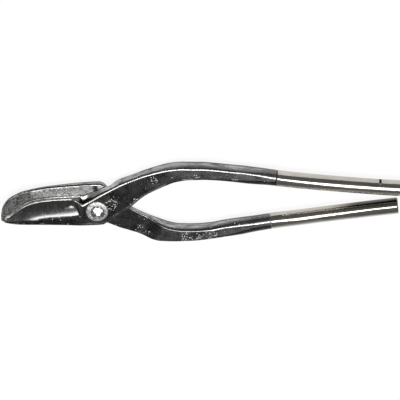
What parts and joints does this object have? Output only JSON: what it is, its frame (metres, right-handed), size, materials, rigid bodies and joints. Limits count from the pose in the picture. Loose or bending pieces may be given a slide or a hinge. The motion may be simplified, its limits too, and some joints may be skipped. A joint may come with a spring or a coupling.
{
  "type": "tin snips",
  "caption": "Forged tin snips with scooped, curved blades that pass side by side, a peened rivet pivot with washers, and long bright round grips, shown closed.",
  "frame": {"origin": "on the pivot axis, at the flat of the rear rivet head, the lowest point of the part", "axes": "+Z along the pivot axis towards the peened front head; +X from the pivot towards the handles, so the blades point to -X; +Y towards the front lever's arm"},
  "size_m": [0.3019, 0.0638, 0.0184],
  "materials": {
    "forged_black": "black forge scale, half gloss, lightly pitted",
    "ground_steel": "ground hard steel, fine cross grain",
    "bright_steel": "polished bar, warm grey",
    "pivot_steel": "bare steel, hammered on the rivet head"
  },
  "bodies": {
    "rear_half": {"rear_lever": "forged_black", "rear_edge_steel": "ground_steel", "rear_grip": "bright_steel", "pivot_rivet": "pivot_steel", "front_washer": "pivot_steel", "rear_washer": "pivot_steel"},
    "front_half": {"front_lever": "forged_black", "front_edge_steel": "ground_steel", "front_grip": "bright_steel"}
  },
  "joints": [
    {"name": "pivot", "type": "hinge", "parent": "rear_half", "child": "front_half", "pos_m": [0, 0, 0.0087], "axis": [0, 0, 1], "range_deg": [0, 38]}
  ]
}
